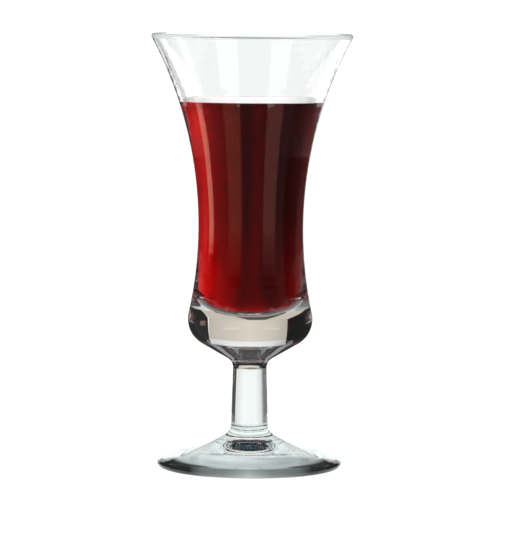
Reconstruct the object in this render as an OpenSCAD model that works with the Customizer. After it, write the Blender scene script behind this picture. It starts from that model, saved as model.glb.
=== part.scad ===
// Footed sherry glass in heavy clear glass, holding a measure of red wine.
// Every piece is turned about the Z axis, and the glass stands on Z = 0.
// The pieces stack from the table up: foot, stem, bowl, with the wine in the bowl.

/* [Foot] */
// Diameter of the foot across its rounded edge
foot_d = 50.8; // [44:0.2:60]
// Thickness of the foot at its rounded edge
foot_edge_t = 2.4; // [1.6:0.1:4]
// Slope of the foot's upper side where it leaves the edge, in degrees
foot_rise = 10.4; // [4:0.1:18]
// Radius of the hollow sweep of the foot's upper side
foot_sweep_r = 58; // [40:1:150]
// Radius of the fillet that carries the sweep up into the stem
foot_fillet_r = 4.1; // [1:0.1:8]
// Width of the flat ring that the glass stands on
rest_ring_w = 3.8; // [1.4:0.1:8]
// Height of the hollow under the middle of the foot
kick_h = 5; // [1:0.1:6]

/* [Stem] */
// Diameter of the stem where it stands on the foot
stem_foot_d = 10.1; // [7:0.1:14]
// Diameter of the stem where it carries the bowl
stem_bowl_d = 9.2; // [7:0.1:13]
// Length of the stem between its two fused joints
stem_len = 15.3; // [8:0.1:60]

/* [Bowl outside] */
// Height of the bowl from its joint with the stem to the rim
bowl_h = 91.9; // [78:0.1:120]
// Radius of the fillet that carries the stem out under the bowl
bowl_fillet_r = 3.2; // [1:0.1:5]
// Rise of the bowl's underside, in degrees
underside_slope = 30.1; // [15:0.1:45]
// Diameter of the bowl across its shoulder
shoulder_d = 34.3; // [31:0.1:42]
// Radius that rounds the shoulder
shoulder_r = 7.6; // [4:0.1:11]
// Diameter of the bowl at its waist
waist_d = 28.8; // [26:0.1:33]
// Diameter of the bowl across its rim
rim_d = 55.2; // [44:0.1:70]

/* [Bowl inside] */
// Thickness of the wall at the rim, which is rounded over
rim_t = 1.35; // [0.8:0.05:2.5]
// Solid glass between the stem's joint and the floor of the bowl
base_t = 13.8; // [8:0.1:20]
// Diameter of the straight bore above the dished floor
bore_d = 21.4; // [15:0.1:23]
// Height of the bore's straight stretch
bore_straight_h = 13.6; // [2:0.1:24]
// Radius of the shallow dish of the floor
floor_dish_r = 42; // [14:0.5:80]
// Radius that rounds the floor up into the bore
floor_corner_r = 7; // [2:0.1:7.2]

/* [Wine] */
// Depth of the wine's surface below the rim
ullage_h = 18.1; // [8:0.1:40]
// Height that the wine climbs at the wall
meniscus_h = 0.1; // [0.1:0.1:1]
// Radius of the curve in which the wine climbs
meniscus_r = 1.6; // [1.5:0.1:4]

/* [Hidden] */
$fn = 128;

// Farthest that a chord may stray from the arc it stands for
chord_error = 0.01;
// Points closer than this are one point
same_point = 0.0001;

glass_colour = [0.86, 0.93, 0.92, 0.45];
foot_colour = [0.76, 0.87, 0.88, 0.55];
wine_colour = [0.42, 0.03, 0.05, 0.9];

// Points along an arc about centre c, from angle a0 to angle a1
function arc(c, r, a0, a1) =
    let (n = max(2, ceil(abs(a1 - a0) / (2 * acos(1 - chord_error / r)))))
    [for (i = [0 : n]) let (a = a0 + (a1 - a0) * i / n) c + r * [cos(a), sin(a)]];

// The same points in the other order
function reversed(points) = [for (i = [len(points) - 1 : -1 : 0]) points[i]];

// A closed outline without the points that only repeat the next one, where two arcs meet
function closed(points) =
    let (n = len(points))
    [for (i = [0 : n - 1]) if (norm(points[i] - points[(i + 1) % n]) > same_point) points[i]];

// Angle at which the point p lies from the point c
function bearing(c, p) = atan2(p[1] - c[1], p[0] - c[0]);

// Foot: a rounded edge, a hollow sweep, and a fillet that ends upright at the stem
foot_edge_r = foot_edge_t / 2;
foot_edge_c = [foot_d / 2 - foot_edge_r, foot_edge_r];
foot_sweep_c = foot_edge_c + (foot_edge_r + foot_sweep_r) * [sin(foot_rise), cos(foot_rise)];
stem_foot_r = stem_foot_d / 2;
foot_fillet_x = stem_foot_r + foot_fillet_r;
foot_h = foot_sweep_c[1]
    - sqrt(pow(foot_sweep_r - foot_fillet_r, 2) - pow(foot_sweep_c[0] - foot_fillet_x, 2));
foot_fillet_c = [foot_fillet_x, foot_h];
sweep_end_a = 360 + bearing(foot_sweep_c, foot_fillet_c);

// Underside of the foot: the hollow is a dome inside the rest ring
kick_r = foot_edge_c[0] - rest_ring_w;
kick_dome_r = (pow(kick_r, 2) + pow(kick_h, 2)) / (2 * kick_h);
kick_c = [0, kick_h - kick_dome_r];

// Heights of the joints up the glass
stem_bowl_r = stem_bowl_d / 2;
bowl_z = foot_h + stem_len;
rim_z = bowl_z + bowl_h;

// Underside of the bowl: a fillet out of the stem, a cone, and the shoulder's arc
under_out = [sin(underside_slope), -cos(underside_slope)];
bowl_fillet_c = [stem_bowl_r + bowl_fillet_r, bowl_z];
under_start = bowl_fillet_c - bowl_fillet_r * under_out;
shoulder_x = shoulder_d / 2 - shoulder_r;
under_run = shoulder_x + shoulder_r * under_out[0] - under_start[0];
shoulder_z = under_start[1] + under_run * tan(underside_slope) - shoulder_r * under_out[1];
shoulder_c = [shoulder_x, shoulder_z];

// Lip: a full round between the outside and the inside of the wall
lip_r = rim_t / 2;
lip_c = [rim_d / 2 - lip_r, rim_z - lip_r];

// Side of the bowl: one arc, tangent to the shoulder below and to the lip above, that just
// reaches in to the waist. Its waist lies a height p above the shoulder's centre, where
// (1 - k) p^2 + 2 k h p - (m + k h^2) = 0.
waist_r = waist_d / 2;
waist_in = waist_r - shoulder_x;
flare_in = lip_c[0] - waist_r;
side_k = (shoulder_r - waist_in) / (flare_in + lip_r);
side_h = lip_c[1] - shoulder_z;
side_m = pow(shoulder_r, 2) - pow(waist_in, 2) + side_k * (pow(flare_in, 2) - pow(lip_r, 2));
side_root = sqrt(pow(side_k * side_h, 2) + (1 - side_k) * (side_m + side_k * pow(side_h, 2)));
waist_z = shoulder_z + (side_root - side_k * side_h) / (1 - side_k);
side_r = (pow(lip_c[1] - waist_z, 2) + pow(flare_in, 2) - pow(lip_r, 2)) / (2 * (flare_in + lip_r));
side_c = [waist_r + side_r, waist_z];

// Inside of the bowl: a dished floor with a round corner, a straight bore, and an arc out to the lip
bore_r = bore_d / 2;
floor_dish_c = [0, bowl_z + base_t + floor_dish_r];
floor_corner_x = bore_r - floor_corner_r;
bore_z = floor_dish_c[1] - sqrt(pow(floor_dish_r - floor_corner_r, 2) - pow(floor_corner_x, 2));
floor_corner_c = [floor_corner_x, bore_z];
floor_turn_a = bearing(floor_dish_c, floor_corner_c);
flare_z = bore_z + bore_straight_h;
inner_in = lip_c[0] - bore_r;
inner_r = (pow(lip_c[1] - flare_z, 2) + pow(inner_in, 2) - pow(lip_r, 2)) / (2 * (inner_in - lip_r));
inner_c = [bore_r + inner_r, flare_z];

// Wine: level in the middle, climbing the wall in a small curve to its edge
wine_z = rim_z - ullage_h;
wine_edge_z = wine_z + meniscus_h;
wine_edge_a = 180 - asin((wine_edge_z - flare_z) / inner_r);
wine_edge = inner_c + inner_r * [cos(wine_edge_a), sin(wine_edge_a)];
meniscus_run = sqrt(2 * meniscus_r * meniscus_h - pow(meniscus_h, 2));
meniscus_c = [wine_edge[0] - meniscus_run, wine_z + meniscus_r];

// The wall that the wine wets, from the middle of the floor up to the wine's edge
wetted_wall = concat(
    arc(floor_dish_c, floor_dish_r, -90, floor_turn_a),
    arc(floor_corner_c, floor_corner_r, floor_turn_a, 0),
    arc(inner_c, inner_r, 180, wine_edge_a)
);

foot_outline = concat(
    arc(kick_c, kick_dome_r, 90, bearing(kick_c, [kick_r, 0])),
    arc(foot_edge_c, foot_edge_r, -90, 90 - foot_rise),
    arc(foot_sweep_c, foot_sweep_r, 270 - foot_rise, sweep_end_a),
    arc(foot_fillet_c, foot_fillet_r, sweep_end_a, 180),
    [[0, foot_h]]
);

stem_outline = [
    [0, foot_h],
    [stem_foot_r, foot_h],
    [stem_bowl_r, bowl_z],
    [0, bowl_z]
];

bowl_outline = concat(
    [[0, bowl_z]],
    arc(bowl_fillet_c, bowl_fillet_r, 180, 90 + underside_slope),
    arc(shoulder_c, shoulder_r, underside_slope - 90, bearing(shoulder_c, side_c)),
    arc(side_c, side_r, 180 + bearing(shoulder_c, side_c), bearing(side_c, lip_c)),
    arc(lip_c, lip_r, bearing(lip_c, side_c), bearing(inner_c, lip_c)),
    arc(inner_c, inner_r, bearing(inner_c, lip_c), wine_edge_a),
    reversed(wetted_wall)
);

wine_outline = concat(
    wetted_wall,
    arc(meniscus_c, meniscus_r, bearing(meniscus_c, wine_edge), -90),
    [[0, wine_z]]
);

// Round foot that sweeps up to the stem, with a domed hollow beneath
module foot() {
    color(foot_colour) rotate_extrude() polygon(closed(foot_outline));
}

// Short tapered stem, fused to the foot below and the bowl above
module stem() {
    color(glass_colour) rotate_extrude() polygon(closed(stem_outline));
}

// Waisted bowl with a thick base and a flared, rounded rim
module bowl() {
    color(glass_colour) rotate_extrude() polygon(closed(bowl_outline));
}

// The wine, which fills the bowl to below the flare of the rim
module sherry() {
    color(wine_colour) rotate_extrude() polygon(closed(wine_outline));
}

foot();
stem();
bowl();
sherry();
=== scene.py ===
"""Sherry glass of red wine on a white table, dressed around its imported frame.

The glass stands on Z = 0 with its axis on Z, in metres. The camera looks along +Y.
Bowl, stem, foot and wine are turned again from the frame's own outlines, finely enough to
refract cleanly, and stand for the four CAD nodes. The studio is a white table under white
light, with flags and soft lights that the camera sees only in the glass.
"""
import math

import bpy
from mathutils import Matrix, Vector


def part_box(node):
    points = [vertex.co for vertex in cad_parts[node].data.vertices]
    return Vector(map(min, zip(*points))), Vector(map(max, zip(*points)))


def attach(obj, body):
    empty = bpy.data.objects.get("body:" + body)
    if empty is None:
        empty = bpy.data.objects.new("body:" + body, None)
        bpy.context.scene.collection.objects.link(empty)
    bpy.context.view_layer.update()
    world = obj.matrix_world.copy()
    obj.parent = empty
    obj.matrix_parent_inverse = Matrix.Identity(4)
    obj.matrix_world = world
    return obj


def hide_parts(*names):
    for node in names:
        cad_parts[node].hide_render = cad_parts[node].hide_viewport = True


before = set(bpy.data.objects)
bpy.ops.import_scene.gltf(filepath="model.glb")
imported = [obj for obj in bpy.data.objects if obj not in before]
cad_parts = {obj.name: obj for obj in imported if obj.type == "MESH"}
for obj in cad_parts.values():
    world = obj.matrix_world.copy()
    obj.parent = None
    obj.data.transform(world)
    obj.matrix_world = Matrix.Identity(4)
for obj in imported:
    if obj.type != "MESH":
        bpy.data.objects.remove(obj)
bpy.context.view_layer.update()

# Camera, fitted to the photographed outline
CAMERA_DISTANCE = 0.972
CAMERA_HEIGHT = 0.13973
CAMERA_PITCH = 5.016
CAMERA_YAW = 0.113
CAMERA_ROLL = 0.45
LENS_MM = 236.4
SENSOR_MM = 36.0
CLIP_START = 0.01
CLIP_END = 50.0

# Turned meshes
SEGMENTS = 320
OUTLINE_STEP = 0.0005
SAME_RING = 0.000003
CORNER_ANGLE = 23.0
WINE_OVERLAP = 0.00006

# Optics
GLASS_IOR = 1.52
WINE_IOR = 1.35
GLASS_TINT = (0.975, 0.995, 0.99, 1.0)
WINE_DENSITY = 1000.0
WINE_ABSORPTION = (0.885, 0.0, 0.12, 1.0)
SURFACE_BAND = 0.0001
BOUNCES = 64
CLEAR_BOUNCES = 32

# Noise on the surfaces, and the most that it roughens or raises them
SMEAR_SCALE = 140.0
SMEAR_DETAIL = 3.0
SMEAR_ROUGHNESS = 0.02
WAVE_SCALE = 75.0
WAVE_DETAIL = 1.0
BOWL_WAVE = 0.000001
FOOT_WAVE = 0.000004
WINE_NOISE_SCALE = 90.0
WINE_NOISE_DETAIL = 2.0
WINE_ROUGHNESS = 0.015

# Studio
ROOM_LIGHT = 1.06
CEILING_FROM = 0.37
CEILING_FULL = 0.56
CEILING_COLOUR = (0.05, 0.11, 0.13, 1.0)
TABLE_HALF = 6.0
TABLE_DROP = 0.0001
CARD_STEP = 4.0
AXIS_GAP = 0.001
PAPER_BACK = 0.3
EDGE_DARK = 0.03

# Light through the glass is told apart by the faces that it passed, less those that it bounced off.
# Each range gives the least and the most of that count.
RANGE_MARGIN = 0.25
# Solid glass: the base, the stem and the foot
SOLID = (-1, 2)
ENTERED = (0, 1)
STRAIGHT = (1, 2)
TURNED = (-1, 0)
# The walls of the empty bowl
THROUGH = (2, 3)
WALL = (3, 3)
EMPTY = (4, 4)
WALL_OR_EMPTY = (3, 4)
SOLID_OR_WALL = (-1, 3)
# The wine, with the walls before and behind it
WINE_TOP = (5, 5)
WINE = (6, 7)
WINE_FLOOR = (5, 7)
# Light that passed still more faces
BEYOND = (8, 60)
# Light that mostly bounced about
ASTRAY = (-5, -2)
LOST = (-60, -6)
ASTRAY_OR_LOST = (-60, -2)
CAUGHT = (-60, 1)
# Light that the glass only mirrored, which needs no count
MIRRORED = None

# Colours of the cards
WHITE = (1.0, 1.0, 1.0)
BEIGE = (1.0, 0.91, 0.79)
GREEN_WHITE = (0.93, 1.0, 0.985)
PALE_GREEN = (0.9, 1.0, 0.985)
RED = (1.0, 0.4, 0.42)


def make_camera():
    """Camera in front of the glass, a little above the rim and looking slightly down."""
    data = bpy.data.cameras.new("camera")
    data.lens = LENS_MM
    data.sensor_width = SENSOR_MM
    data.clip_start = CLIP_START
    data.clip_end = CLIP_END
    camera = bpy.data.objects.new("camera", data)
    place = Matrix.Translation((0.0, -CAMERA_DISTANCE, CAMERA_HEIGHT))
    yaw = Matrix.Rotation(math.radians(-CAMERA_YAW), 4, "Z")
    pitch = Matrix.Rotation(math.radians(90.0 - CAMERA_PITCH), 4, "X")
    roll = Matrix.Rotation(math.radians(CAMERA_ROLL), 4, "Z")
    camera.matrix_world = place @ yaw @ pitch @ roll
    bpy.context.scene.collection.objects.link(camera)
    bpy.context.scene.camera = camera


def mesh_rings(mesh):
    """Rings (radius, height) that a turned mesh's vertices lie in, and the number of each vertex's ring."""
    rings = []
    ring_of = []
    for vertex in mesh.vertices:
        point = Vector((math.hypot(vertex.co.x, vertex.co.y), vertex.co.z))
        found = next((i for i, ring in enumerate(rings) if (ring - point).length < SAME_RING), len(rings))
        if found == len(rings):
            rings.append(point)
        ring_of.append(found)
    return rings, ring_of


def turned_outline(node):
    """Outline (radius, height) that a CAD node is turned from, from its lowest end to its other end."""
    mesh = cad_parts[node].data
    rings, ring_of = mesh_rings(mesh)
    links = [set() for _ in rings]
    for edge in mesh.edges:
        a, b = (ring_of[v] for v in edge.vertices)
        if a != b:
            links[a].add(b)
            links[b].add(a)
    ends = [i for i, link in enumerate(links) if len(link) == 1]
    order = [min(ends, key=lambda i: rings[i].y)]
    while len(order) < len(rings):
        order += [i for i in links[order[-1]] if i not in order]
    outline = [rings[i] for i in order]
    if outline[0].x > SAME_RING:
        outline.insert(0, Vector((0.0, outline[0].y)))
    if outline[-1].x > SAME_RING:
        outline.append(Vector((0.0, outline[-1].y)))
    return outline


def turn_at(outline, i):
    """Angle in degrees by which the outline turns at its point i."""
    if i in (0, len(outline) - 1):
        return 180.0
    before = outline[i] - outline[i - 1]
    after = outline[i + 1] - outline[i]
    return math.degrees(before.angle(after))


def direction_at(outline, i):
    """Direction of the outline at its point i, across the two points beside it."""
    return (outline[min(i + 1, len(outline) - 1)] - outline[max(i - 1, 0)]).normalized()


def smooth_outline(outline):
    """The outline with a smooth curve between its corners, and which of its points are corners."""
    corner = [turn_at(outline, i) > CORNER_ANGLE for i in range(len(outline))]
    points = [outline[0]]
    sharp = [True]
    for i in range(len(outline) - 1):
        a, b = outline[i], outline[i + 1]
        chord = b - a
        leave = chord.normalized() if corner[i] else direction_at(outline, i)
        arrive = chord.normalized() if corner[i + 1] else direction_at(outline, i + 1)
        steps = max(1, math.ceil(chord.length / OUTLINE_STEP))
        for k in range(1, steps + 1):
            t = k / steps
            bend = leave * (t - 2 * t ** 2 + t ** 3) + arrive * (t ** 3 - t ** 2)
            points.append(a + chord * (3 * t ** 2 - 2 * t ** 3) + bend * chord.length)
            sharp.append(k == steps and corner[i + 1])
    return points, sharp


def turned_vertices(outline):
    """Vertices of a turned mesh, and their numbers ring by ring. A point on the axis is one vertex."""
    vertices = []
    rings = []
    for point in outline:
        if point.x < SAME_RING:
            rings.append([len(vertices)] * SEGMENTS)
            vertices.append((0.0, 0.0, point.y))
            continue
        rings.append([len(vertices) + s for s in range(SEGMENTS)])
        for s in range(SEGMENTS):
            a = 2 * math.pi * s / SEGMENTS
            vertices.append((point.x * math.cos(a), point.x * math.sin(a), point.y))
    return vertices, rings


def mark_corners(mesh, rings, sharp):
    """Keeps the mesh sharp along the rings at the outline's corners."""
    at_corner = {v for i, ring in enumerate(rings) if sharp[i] for v in ring}
    for edge in mesh.edges:
        a, b = edge.vertices
        level = abs(mesh.vertices[a].co.z - mesh.vertices[b].co.z) < SAME_RING
        edge.use_edge_sharp = level and a in at_corner and b in at_corner


def turned_piece(name, outline, sharp, materials, material_of):
    """Closed mesh turned from an outline. material_of gives the material's number for each band."""
    vertices, rings = turned_vertices(outline)
    faces = []
    numbers = []
    for i in range(len(outline) - 1):
        low, high = rings[i], rings[i + 1]
        for s in range(SEGMENTS):
            n = (s + 1) % SEGMENTS
            corners = (low[s], low[n], high[n], high[s])
            faces.append(tuple(dict.fromkeys(corners)))
            numbers.append(material_of(i))
    mesh = bpy.data.meshes.new(name)
    mesh.from_pydata(vertices, [], faces)
    for material in materials:
        mesh.materials.append(material)
    mesh.polygons.foreach_set("material_index", numbers)
    mesh.polygons.foreach_set("use_smooth", [True] * len(faces))
    mark_corners(mesh, rings, sharp)
    mesh.update()
    piece = bpy.data.objects.new(name, mesh)
    bpy.context.scene.collection.objects.link(piece)
    return piece


def new_material(name):
    """Empty node material with its output, as (material, nodes, links, output)."""
    material = bpy.data.materials.new(name)
    material.use_nodes = True
    tree = material.node_tree
    tree.nodes.clear()
    output = tree.nodes.new("ShaderNodeOutputMaterial")
    return material, tree.nodes, tree.links, output


def add_noise(nodes, links, scale, detail):
    """Noise over the object's own coordinates."""
    where = nodes.new("ShaderNodeTexCoord")
    noise = nodes.new("ShaderNodeTexNoise")
    noise.inputs["Scale"].default_value = scale
    noise.inputs["Detail"].default_value = detail
    links.new(where.outputs["Object"], noise.inputs["Vector"])
    return noise.outputs["Fac"]


def add_range(nodes, links, value, low, high):
    """Maps a value between 0 and 1 to the range from low to high."""
    spread = nodes.new("ShaderNodeMapRange")
    spread.inputs["To Min"].default_value = low
    spread.inputs["To Max"].default_value = high
    links.new(value, spread.inputs["Value"])
    return spread.outputs["Result"]


def glass_material(name, specular, wave):
    """Clear pressed glass with a faint green-blue cast and a slightly wavy, handled surface."""
    material, nodes, links, output = new_material(name)
    shader = nodes.new("ShaderNodeBsdfPrincipled")
    shader.inputs["Base Color"].default_value = GLASS_TINT
    shader.inputs["Transmission Weight"].default_value = 1.0
    shader.inputs["IOR"].default_value = GLASS_IOR
    shader.inputs["Specular Tint"].default_value = specular
    smears = add_noise(nodes, links, SMEAR_SCALE, SMEAR_DETAIL)
    links.new(add_range(nodes, links, smears, 0.0, SMEAR_ROUGHNESS), shader.inputs["Roughness"])
    waves = add_noise(nodes, links, WAVE_SCALE, WAVE_DETAIL)
    bump = nodes.new("ShaderNodeBump")
    bump.inputs["Strength"].default_value = 1.0
    bump.inputs["Distance"].default_value = wave
    links.new(waves, bump.inputs["Height"])
    links.new(bump.outputs["Normal"], shader.inputs["Normal"])
    links.new(shader.outputs["BSDF"], output.inputs["Surface"])
    return material


def joint_material():
    """Inside of a fused joint, where glass meets glass and nothing shows."""
    material, nodes, links, output = new_material("fused_joint")
    shader = nodes.new("ShaderNodeBsdfTransparent")
    links.new(shader.outputs["BSDF"], output.inputs["Surface"])
    return material


def wine_material(surface_z):
    """Red wine: clear, and darkened by its depth. Only its free surface reflects, not the wetted wall."""
    material, nodes, links, output = new_material("wine_clear")
    shader = nodes.new("ShaderNodeBsdfPrincipled")
    shader.inputs["Base Color"].default_value = (1.0, 1.0, 1.0, 1.0)
    shader.inputs["Transmission Weight"].default_value = 1.0
    shader.inputs["IOR"].default_value = WINE_IOR
    noise = add_noise(nodes, links, WINE_NOISE_SCALE, WINE_NOISE_DETAIL)
    links.new(add_range(nodes, links, noise, 0.0, WINE_ROUGHNESS), shader.inputs["Roughness"])
    where = nodes.new("ShaderNodeTexCoord")
    split = nodes.new("ShaderNodeSeparateXYZ")
    links.new(where.outputs["Object"], split.inputs["Vector"])
    free = nodes.new("ShaderNodeMath")
    free.operation = "GREATER_THAN"
    free.inputs[1].default_value = surface_z - SURFACE_BAND
    links.new(split.outputs["Z"], free.inputs[0])
    links.new(free.outputs["Value"], shader.inputs["Specular Tint"])
    links.new(shader.outputs["BSDF"], output.inputs["Surface"])
    depth = nodes.new("ShaderNodeVolumeAbsorption")
    depth.inputs["Color"].default_value = WINE_ABSORPTION
    depth.inputs["Density"].default_value = WINE_DENSITY
    links.new(depth.outputs["Volume"], output.inputs["Volume"])
    return material


def dress(piece, node):
    """The piece rides on the one body and stands for its CAD node."""
    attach(piece, "root")
    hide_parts(node)


def make_bowl(dry, wetted, joint):
    """Bowl, with its wetted wall told apart from its dry one."""
    outline, sharp = smooth_outline(turned_outline("bowl"))
    wine_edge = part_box("sherry")[1].z + SAME_RING
    lip = max(range(len(outline)), key=lambda i: outline[i].y)

    def band(i):
        if i == 0:
            return 2
        return 1 if i >= lip and outline[i].y <= wine_edge else 0

    bowl = turned_piece("glass_bowl", outline, sharp, (dry, wetted, joint), band)
    dress(bowl, "bowl")


def make_stem(dry, joint):
    """Stem, whose two flat ends are fused joints."""
    outline, sharp = smooth_outline(turned_outline("stem"))

    def band(i):
        return 1 if abs(outline[i].y - outline[i + 1].y) < SAME_RING else 0

    stem = turned_piece("glass_stem", outline, sharp, (dry, joint), band)
    dress(stem, "stem")


def make_foot(wavy, joint):
    """Foot, whose flat top is a fused joint."""
    outline, sharp = smooth_outline(turned_outline("foot"))
    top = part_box("foot")[1].z - SAME_RING

    def band(i):
        return 1 if outline[i].y > top else 0

    foot = turned_piece("glass_foot", outline, sharp, (wavy, joint), band)
    dress(foot, "foot")


def make_glass():
    """Bowl, stem and foot, whose fused faces do not show."""
    white = (1.0, 1.0, 1.0, 1.0)
    black = (0.0, 0.0, 0.0, 1.0)
    dry = glass_material("glass_dry", white, BOWL_WAVE)
    wetted = glass_material("glass_wetted", black, BOWL_WAVE)
    wavy = glass_material("glass_wavy", white, FOOT_WAVE)
    joint = joint_material()
    make_bowl(dry, wetted, joint)
    make_stem(dry, joint)
    make_foot(wavy, joint)


def outward(outline, i, edge):
    """Direction into the wall at the wine's point i, and none on its free surface, past the edge."""
    if i == 0:
        return Vector((0.0, -1.0))
    if i > edge:
        return Vector((0.0, 0.0))
    along = direction_at(outline[:edge + 1], i)
    return Vector((along.y, -along.x))


def make_wine():
    """The wine, let a hair into the wall so that light passes straight from glass to wine."""
    outline, sharp = smooth_outline(turned_outline("sherry"))
    edge = max(range(len(outline)), key=lambda i: outline[i].y)
    surface_z = outline[-1].y
    grown = [point + outward(outline, i, edge) * WINE_OVERLAP for i, point in enumerate(outline)]
    wine = turned_piece("wine", grown, sharp, (wine_material(surface_z),), lambda i: 0)
    dress(wine, "sherry")


def stage_mesh(name, vertices, faces, material):
    """Mesh that belongs to the studio."""
    mesh = bpy.data.meshes.new(name)
    mesh.from_pydata(vertices, [], faces)
    mesh.materials.append(material)
    piece = bpy.data.objects.new(name, mesh)
    bpy.context.scene.collection.objects.link(piece)
    return piece


def table_material():
    """Evenly lit white table top."""
    material, nodes, links, output = new_material("table")
    glow = nodes.new("ShaderNodeEmission")
    glow.inputs["Strength"].default_value = ROOM_LIGHT
    links.new(glow.outputs["Emission"], output.inputs["Surface"])
    return material


def add_range_test(nodes, links, seen):
    """One for light whose faces passed, less its bounces, lie in the range seen, and else nought."""
    path = nodes.new("ShaderNodeLightPath")
    faces = nodes.new("ShaderNodeMath")
    faces.operation = "SUBTRACT"
    links.new(path.outputs["Transmission Depth"], faces.inputs[0])
    links.new(path.outputs["Glossy Depth"], faces.inputs[1])
    test = nodes.new("ShaderNodeMath")
    test.operation = "COMPARE"
    test.inputs[1].default_value = (seen[0] + seen[1]) / 2
    test.inputs[2].default_value = (seen[1] - seen[0]) / 2 + RANGE_MARGIN
    links.new(faces.outputs["Value"], test.inputs[0])
    return test.outputs["Value"]


def card_material(name, colour, seen):
    """Light of one colour, as strong as the card says at each point, for the light that may see it."""
    material, nodes, links, output = new_material(name)
    level = nodes.new("ShaderNodeAttribute")
    level.attribute_name = "light"
    glow = nodes.new("ShaderNodeEmission")
    glow.inputs["Color"].default_value = (*colour, 1.0)
    links.new(level.outputs["Fac"], glow.inputs["Strength"])
    if seen is MIRRORED:
        links.new(glow.outputs["Emission"], output.inputs["Surface"])
        return material
    clear = nodes.new("ShaderNodeBsdfTransparent")
    mix = nodes.new("ShaderNodeMixShader")
    links.new(add_range_test(nodes, links, seen), mix.inputs["Fac"])
    links.new(clear.outputs["BSDF"], mix.inputs[1])
    links.new(glow.outputs["Emission"], mix.inputs[2])
    links.new(mix.outputs["Shader"], output.inputs["Surface"])
    return material


def card_grid(rows):
    """Vertices of a card row by row, the light at each of them, and how many make a row."""
    spans = len(rows[0][2]) - 1
    steps = []
    for k in range(spans):
        widest = max(abs(stops[k + 1][0] - stops[k][0]) for _, _, stops in rows)
        steps.append(max(1, math.ceil(widest / CARD_STEP)))
    vertices = []
    light = []
    for distance, height, stops in rows:
        for k in range(spans):
            (from_bearing, from_light), (to_bearing, to_light) = stops[k], stops[k + 1]
            for s in range(steps[k] + (k == spans - 1)):
                t = s / steps[k]
                a = math.radians(from_bearing + (to_bearing - from_bearing) * t)
                vertices.append((distance * math.sin(a), distance * math.cos(a), height))
                light.append(from_light + (to_light - from_light) * t)
    return vertices, light, sum(steps) + 1


def make_card(name, seen, colour, rows, inside=False):
    """Card that only the glass shows, spanned by rows of (distance, height, stops).

    A stop is (bearing, light), and every row has as many. Bearings are in degrees from straight
    behind the glass and grow to the camera's right. Light changes evenly from stop to stop.
    The card shows to light in the range seen, and a MIRRORED one shows in reflections alone.
    A card inside the glass also shows to light that has just bounced in there.
    """
    vertices, light, width = card_grid(rows)
    faces = []
    for r in range(len(rows) - 1):
        for s in range(width - 1):
            i = r * width + s
            faces.append((i, i + 1, i + width + 1, i + width))
    piece = stage_mesh(name, vertices, faces, card_material(name, colour, seen))
    piece.data.attributes.new("light", "FLOAT", "POINT").data.foreach_set("value", light)
    piece.visible_camera = False
    piece.visible_diffuse = False
    piece.visible_shadow = False
    piece.visible_volume_scatter = False
    piece.visible_glossy = seen is MIRRORED or inside
    piece.visible_transmission = seen is not MIRRORED


def stops_at(bearings, lights):
    """Stops of a card from its bearings and the light at each of them."""
    return list(zip(bearings, lights))


def even(from_bearing, to_bearing, light):
    """Stops of a card that is equally light from one bearing to the other."""
    return [(from_bearing, light), (to_bearing, light)]


def all_round(light):
    """Stops of a card that goes all round the glass and is equally light."""
    return even(-180, 180, light)


def make_shell(name, seen, colour, light, corners, inside=False):
    """Card all round the glass, equally light, through corners of (distance, height)."""
    rows = [(distance, height, all_round(light)) for distance, height in corners]
    make_card(name, seen, colour, rows, inside)


def make_world():
    """White light all round, under a dark ceiling."""
    world = bpy.data.worlds.new("studio")
    world.use_nodes = True
    nodes, links = world.node_tree.nodes, world.node_tree.links
    where = nodes.new("ShaderNodeTexCoord")
    split = nodes.new("ShaderNodeSeparateXYZ")
    links.new(where.outputs["Generated"], split.inputs["Vector"])
    rise = nodes.new("ShaderNodeMapRange")
    rise.inputs["From Min"].default_value = CEILING_FROM
    rise.inputs["From Max"].default_value = CEILING_FULL
    links.new(split.outputs["Z"], rise.inputs["Value"])
    mix = nodes.new("ShaderNodeMix")
    mix.data_type = "RGBA"
    mix.inputs["A"].default_value = (ROOM_LIGHT, ROOM_LIGHT, ROOM_LIGHT, 1.0)
    mix.inputs["B"].default_value = CEILING_COLOUR
    links.new(rise.outputs["Result"], mix.inputs["Factor"])
    links.new(mix.outputs["Result"], nodes["Background"].inputs["Color"])
    bpy.context.scene.world = world


def make_table():
    """White table that the glass stands on."""
    h, z = TABLE_HALF, -TABLE_DROP
    corners = [(-h, -h, z), (h, -h, z), (h, h, z), (-h, h, z)]
    stage_mesh("table", corners, [(0, 1, 2, 3)], table_material())


def light_front():
    """Dim room in front of the glass, which its outside mirrors."""
    low = 0.001
    wall = 1.5
    bearings = (58, 100, 108, 150, 200, 252, 260, 302)
    at_floor = stops_at(bearings, (0.04, 0.05, 0.16, 0.13, 0.14, 0.14, 0.14, 0.14))
    at_wall = stops_at(bearings, (0.03, 0.03, 0.16, 0.13, 0.12, 0.12, 0.03, 0.03))
    make_card("front_room", MIRRORED, (1.0, 0.86, 0.84),
              [(0.026, low, at_floor), (wall, low, at_floor), (wall, 0.02, at_wall), (wall, 0.8, at_wall)])


def edge_stops(side, first, start, end, light):
    """Stops of a dark flag on one side, with a ribbon from start to end that stays outside first."""
    start = max(start, first)
    end = max(end, start + 1)
    return [(side * 1, EDGE_DARK), (side * start, EDGE_DARK), (side * (start + 0.5), light),
            (side * end, light), (side * (end + 1), EDGE_DARK), (side * 60, EDGE_DARK)]


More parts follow.
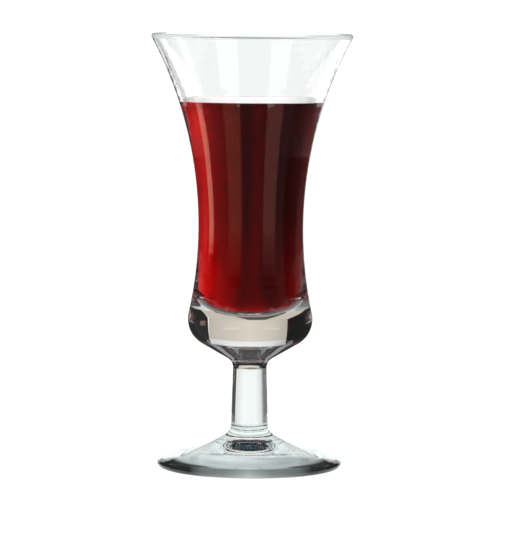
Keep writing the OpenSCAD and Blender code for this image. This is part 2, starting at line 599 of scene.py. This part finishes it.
def light_edges():
    """Flags beside the glass, which draw its edges, with a pale ribbon that only the empty bowl mirrors."""
    low = 0.001
    wall = 1.5
    ribbon_light = 0.9
    # Distance, and the bearings from which and to which the ribbon reaches
    ribbon = ((0.26, 48, 58), (0.3, 44, 54), (0.36, 37, 46), (0.43, 30, 37), (0.5, 25, 30), (0.6, 20, 25),
              (0.75, 15, 19), (1.45, 7, 9))
    for name, side, first in (("edge_left", -1, 36), ("edge_right", 1, 7)):
        rows = [(0.026, low, edge_stops(side, first, 44, 57, EDGE_DARK)),
                (0.24, low, edge_stops(side, first, 48, 58, EDGE_DARK))]
        for distance, start, end in ribbon:
            light = ribbon_light if end > first else EDGE_DARK
            rows.append((distance, low, edge_stops(side, first, start, end, light)))
        rows += [(wall, height, edge_stops(side, first, 7, 9, EDGE_DARK)) for height in (low, 0.8)]
        make_card(name, MIRRORED, (1.0, 0.97, 0.94), rows)


def light_strip(name, colour, bearings, light, white, near, edge, fade):
    """Strip of light on the floor: white from near to edge, coloured from there on, and fading upward."""
    low = 0.002
    # Distance, height and share of the light
    parts = ((edge, low, 1.0), (0.8, low, 1.0), (1.4, low, 0.75), *fade)
    make_card(name, MIRRORED, colour,
              [(distance, height, even(*bearings, part * light)) for distance, height, part in parts])
    make_card(name + "_near", MIRRORED, WHITE,
              [(distance, low, even(*bearings, white)) for distance in (near, edge)])


def light_strips():
    """Three strips of light before the glass, white where the empty bowl mirrors them and warm beyond."""
    # Distance, height and share of the light where a strip rises and fades
    short = ((1.4, 0.08, 0.0),)
    tall = ((1.4, 0.12, 0.5), (1.4, 0.3, 0.05))
    light_strip("strip_left", (1.0, 0.6, 0.42), (-77, -91),
                light=3.0, white=1.2, near=0.16, edge=0.215, fade=short)
    light_strip("strip_middle", (1.0, 0.5, 0.34), (-131, -160),
                light=0.7, white=2.2, near=0.1, edge=0.143, fade=tall)
    light_strip("strip_right", (1.0, 0.6, 0.52), (154, 126),
                light=0.75, white=1.8, near=0.1, edge=0.148, fade=tall)


def light_paper():
    """Paper behind the glass, which its thick base shows: beige, white above, and a dark card of painted
    shade just before it at the table.
    """
    back = PAPER_BACK
    shade_distance = PAPER_BACK - 0.002
    middle = [(-25, 0.48), (-14, 0.64), (0, 0.76), (12, 0.67), (29, 0.56)]
    upper = [(-26, 0.5), (-14, 0.8), (0, 0.9), (12, 0.86), (31, 0.68)]
    top = [(-27, 0.06), (-14, 0.07), (0, 0.07), (12, 0.07), (32, 0.06)]
    make_card("paper_middle", SOLID, BEIGE, [(back, 0.044, middle), (back, 0.095, middle)])
    make_card("paper_upper", SOLID, WHITE, [(back, 0.095, upper), (back, 0.16, upper), (back, 0.2, top)])
    make_card("paper_top", SOLID, (1.0, 0.97, 0.92), [(back, 0.2, top), (back, 0.26, top)])
    make_card("paper_lower", SOLID, BEIGE,
              [(back, 0.0, even(-51, 40, 0.62)), (back, 0.022, even(-40, 34, 0.62)),
               (back, 0.044, even(-26, 33, 0.62))])
    # Dark card of painted shade just before the paper, low at the table, which darkens the base.
    make_card("paper_shade", SOLID, BEIGE,
              [(shade_distance, 0.0, even(-27, 18, 0.06)), (shade_distance, 0.022, even(-18, 11, 0.06)),
               (shade_distance, 0.042, even(-9, 1, 0.12))])


def light_flags():
    """Black flags beside the paper, and a dark room before the glass, for light through solid glass."""
    # Height, bearing of the inner edge, and light
    right = ((0.0, 40, 0.02), (0.022, 34, 0.02), (0.05, 30, 0.02), (0.11, 29, 0.02), (0.16, 31, 0.03),
             (0.26, 32, 0.1))
    left = ((0.0, -51, 0.02), (0.022, -40, 0.02), (0.046, -25, 0.01), (0.11, -25, 0.01), (0.16, -27, 0.02),
            (0.26, -27, 0.1))
    for name, outer, shape in (("flag_right", 80, right), ("flag_left", -80, left)):
        make_card(name, SOLID, WHITE,
                  [(PAPER_BACK, height, even(inner, outer, light)) for height, inner, light in shape])
    low = 0.0005
    wall = 1.2
    dark = even(80, 280, 0.04)
    make_card("dark_front", SOLID, WHITE, [(0.06, low, dark), (wall, low, dark), (wall, 0.8, dark)])


def light_stem():
    """What the stem shows of the table: pale behind it and dark beside it."""
    low = 0.0005
    near = [(-80, 0.2), (-42, 0.2), (-36, 0.4), (-30, 0.8), (-12, 1.0), (12, 1.02), (30, 0.86), (38, 0.75),
            (42, 0.06), (80, 0.03)]
    far = [(-80, 0.3), (-52, 0.5), (-36, 0.4), (-30, 0.8), (-12, 1.0), (12, 1.02), (30, 0.86), (38, 0.75),
           (50, 0.6), (80, 0.05)]
    make_card("stem_floor", SOLID, (0.97, 1.0, 0.985),
              [(0.045, low, near), (0.19, low, near), (0.21, low, far), (0.3, low, far)])


def light_foot():
    """What the foot shows of the table beneath it, with the foot's shade painted in: pale in the middle,
    with dark sides to the front.
    """
    low = 0.0003
    in_ring = 0.0004
    bearings = (-180, -158, -142, -102, -92, 0, 92, 102, 144, 158, 180)
    inner = stops_at(bearings, (0.85, 0.9, 0.95, 1.0, 1.0, 0.92, 0.62, 0.6, 0.7, 0.8, 0.85))
    middle = stops_at(bearings, (0.7, 0.7, 0.65, 0.8, 0.93, 1.0, 0.75, 0.5, 0.5, 0.6, 0.7))
    outer = stops_at(bearings, (0.55, 0.4, 0.06, 0.03, 1.05, 1.05, 1.0, 0.03, 0.06, 0.35, 0.55))
    edge = stops_at(bearings, (0.4, 0.3, 0.03, 0.02, 0.5, 0.9, 0.4, 0.02, 0.03, 0.25, 0.4))
    zones = ((AXIS_GAP, inner), (0.01, inner), (0.0155, middle), (0.0195, middle), (0.0215, outer),
             (0.0265, outer), (0.035, edge), (0.06, edge))
    make_shell("foot_turned", TURNED, WHITE, 0.05, [(AXIS_GAP, low), (0.045, low)])
    # Painted shade of the foot on the table, seen only through the foot: darkest at the sides and dim to the
    # front.
    make_card("foot_floor", STRAIGHT, PALE_GREEN, [(distance, in_ring, stops) for distance, stops in zones])


def light_collar():
    """Pale collar round the rim, which brightens the rim, the wine's surface and the bowl's edges."""
    collar = 0.045
    inner = 0.018
    collar_top = 0.135
    tray = 0.0843
    floor = 0.084
    around = [(-180, 0.9), (-72, 0.9), (-62, 0.72), (-58, 0.5), (-50, 0.5), (-46, 1.2), (-44, 1.75),
              (44, 1.75), (50, 1.3), (70, 1.25), (80, 0.95), (180, 0.9)]
    make_card("collar", SOLID_OR_WALL, WHITE, [(collar, 0.085, around), (collar, collar_top, around)])
    make_shell("collar_top", SOLID_OR_WALL, WHITE, 1.0, [(AXIS_GAP, 0.136), (collar, collar_top)])
    make_shell("collar_tray", THROUGH, WHITE, 1.0, [(inner, tray), (0.0449, tray)])
    make_shell("collar_floor", SOLID_OR_WALL, (0.1, 0.75, 1.0), 0.15, [(inner, floor), (collar, floor)])


def light_lip():
    """Light that the rounded lip gathers, on a card inside it."""
    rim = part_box("bowl")[1]
    lip_z = rim.z - 0.00087
    make_shell("lip_glow", ENTERED, (0.97, 1.0, 0.99), 0.85,
               [(rim.x - 0.0021, lip_z), (rim.x + 0.0002, lip_z)], inside=True)


def light_walls():
    """Dark surround for light through the bowl's walls, pale only beside the foot."""
    low = 0.0006
    dark = 0.05
    wall = 0.32
    sides = [(-180, dark), (-110, dark), (-100, 0.9), (-45, 0.9), (-35, dark), (35, dark), (45, 0.9),
             (100, 0.9), (110, dark), (180, dark)]
    make_shell("wall_shade", WALL, WHITE, dark, [(0.03, low), (wall, low), (wall, 0.4)])
    make_shell("floor_shade", WALL_OR_EMPTY, WHITE, dark, [(AXIS_GAP, low), (0.012, low)])
    make_card("foot_shade", WALL, WHITE, [(0.0121, low, sides), (0.0299, low, sides)])
    make_shell("low_shade", EMPTY, WHITE, dark, [(0.0125, low), (0.05, 0.0007), (0.05, 0.085)])
    make_shell("solid_top", SOLID, (0.55, 0.85, 1.0), 0.06, [(PAPER_BACK, 0.26), (AXIS_GAP, 0.49)])


def light_strays():
    """Surround for light that bounces about in the glass: dark at first, and pale where it is lost."""
    ring_low = 0.0008
    lost_low = 0.0009
    beyond_low = 0.0011
    ring = 0.325
    lost = 0.33
    beyond = 0.335
    dark = all_round(0.1)
    dim = all_round(0.4)
    pale = all_round(1.15)
    make_shell("stray_ring", ASTRAY, WHITE, 0.05, [(0.036, ring_low), (ring, ring_low), (ring, 0.3)])
    make_shell("stray_top", ASTRAY, (0.3, 0.8, 1.0), 0.08, [(ring, 0.3), (AXIS_GAP, 0.5)])
    make_card("lost", LOST, (0.95, 1.0, 0.99),
              [(AXIS_GAP, lost_low, dark), (0.04, lost_low, dark), (0.06, lost_low, pale),
               (lost, lost_low, pale), (lost, 0.001, dim), (lost, 0.09, dim), (lost, 0.11, pale),
               (lost, 0.31, pale), (AXIS_GAP, 0.51, pale)])
    make_card("beyond", BEYOND, WHITE,
              [(AXIS_GAP, beyond_low, dark), (0.04, beyond_low, dark), (0.06, beyond_low, pale),
               (beyond, beyond_low, pale), (beyond, 0.32, pale), (AXIS_GAP, 0.52, pale)])


def light_foot_round():
    """Light round the foot that its edge gathers: pale from behind, none at the sides, and some in front."""
    low = 0.001
    under = -0.00005
    ring_low = 0.0012
    ring = 0.0335
    halo = 0.0337
    around = [(-180, 0.5), (-150, 0.4), (-138, 0.06), (-80, 0.04), (-70, 1.0), (70, 1.0), (80, 0.04),
              (143, 0.05), (153, 0.35), (180, 0.5)]
    behind = even(-75, 75, 1.0)
    make_card("stray_foot", ASTRAY, GREEN_WHITE, [(0.019, low, around), (0.034, low, around)])
    make_shell("stray_dome", ASTRAY, GREEN_WHITE, 0.8, [(AXIS_GAP, low), (0.0189, low)])
    make_card("foot_ring", CAUGHT, GREEN_WHITE, [(ring, ring_low, around), (ring, 0.016, around)])
    make_card("foot_under", ASTRAY_OR_LOST, GREEN_WHITE, [(AXIS_GAP, under, around), (0.034, under, around)])
    make_card("foot_halo", MIRRORED, WHITE, [(halo, ring_low, behind), (halo, 0.011, behind)])


def light_foot_edge():
    """Light in the front of the foot's edge, on a card inside it."""
    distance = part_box("foot")[1].x - 0.0014
    bearings = (95, 136, 148, 166, 180, 194, 212, 222, 265)
    lower = stops_at(bearings, (0.02, 0.02, 0.12, 0.3, 0.6, 0.3, 0.12, 0.02, 0.02))
    upper = stops_at(bearings, (0.02, 0.02, 0.2, 0.2, 0.3, 0.2, 0.2, 0.02, 0.02))
    make_card("edge_glow", ENTERED, PALE_GREEN,
              [(distance, 0.0001, lower), (distance, 0.0023, upper)], inside=True)


def light_wine():
    """Light behind the wine: bright on the right, little on the left, with a dark band in the middle."""
    low = 0.0007
    bearings = (-80, -50, -40, -28, -16, -13, -9, -5, -2, 0, 1.6, 3.2, 5, 12, 17, 21, 24, 28, 34, 42, 80)
    # Light at each bearing: up the wall, at its foot, and on the floor halfway and near the glass
    high = (0.3, 0.4, 0.18, 0.12, 0.12, 0.18, 0.5, 0.62, 0.75, 0.48, 0.32, 0.4, 1.0, 1.1, 1.2, 1.7, 2.6,
            2.5, 1.8, 1.4, 1.0)
    ground = (0.4, 0.4, 0.4, 0.25, 0.3, 0.33, 0.45, 0.5, 1.1, 0.8, 0.65, 0.8, 1.4, 1.5, 1.7, 2.4, 2.7,
              2.4, 1.9, 1.6, 1.0)
    middle = (0.4, 0.4, 0.4, 0.45, 0.45, 0.4, 0.36, 0.35, 0.9, 0.8, 0.7, 0.8, 1.4, 2.4, 2.6, 2.4, 2.3,
              2.0, 1.8, 1.6, 1.0)
    near = (0.4, 0.4, 0.4, 0.5, 0.45, 0.4, 0.2, 0.1, 0.08, 0.08, 0.08, 0.08, 0.08, 0.6, 3.0, 2.8, 2.4,
            2.0, 1.8, 1.6, 1.0)
    # Height, and how many times as light the wall is there
    back_gains = ((0.05, 1.0), (0.08, 1.15), (0.11, 1.6), (0.13, 2.3), (0.15, 3.5), (0.18, 5.0), (0.26, 6.0))
    top_gains = ((0.05, 1.0), (0.08, 1.15), (0.1, 4.2), (0.11, 4.5), (0.117, 2.8), (0.15, 3.5), (0.26, 6.0))
    for name, seen, back, gains in (("wine_back", WINE, 0.31, back_gains),
                                    ("wine_top", WINE_TOP, 0.313, top_gains)):
        rows = [(back, low, stops_at(bearings, ground))]
        for height, gain in gains:
            rows.append((back, height, stops_at(bearings, [light * gain for light in high])))
        make_card(name, seen, RED, rows)
    make_shell("wine_foot", WINE_FLOOR, RED, 0.06, [(AXIS_GAP, low), (0.0399, low)])
    floor = ((0.04, near), (0.075, near), (0.1, middle), (0.16, middle), (0.309, ground))
    make_card("wine_floor", WINE_FLOOR, RED,
              [(distance, low, stops_at(bearings, lights)) for distance, lights in floor])


def make_studio():
    """White table under white light, with cards that the camera sees only in the glass.

    Cards that would overlap have heights or distances of their own, because light that passes
    one card can miss another in the same place.
    """
    make_table()
    make_world()
    light_front()
    light_edges()
    light_strips()
    light_paper()
    light_flags()
    light_stem()
    light_foot()
    light_collar()
    light_lip()
    light_walls()
    light_strays()
    light_foot_round()
    light_foot_edge()
    light_wine()


def set_look():
    """Plain display transform, and enough bounces for light to leave the thick glass."""
    scene = bpy.context.scene
    scene.view_settings.view_transform = "Standard"
    scene.cycles.max_bounces = BOUNCES
    scene.cycles.transmission_bounces = BOUNCES
    scene.cycles.glossy_bounces = BOUNCES
    scene.cycles.transparent_max_bounces = CLEAR_BOUNCES
    scene.cycles.caustics_reflective = False
    scene.cycles.caustics_refractive = False
    scene.cycles.use_denoising = True


make_camera()
make_glass()
make_wine()
make_studio()
set_look()
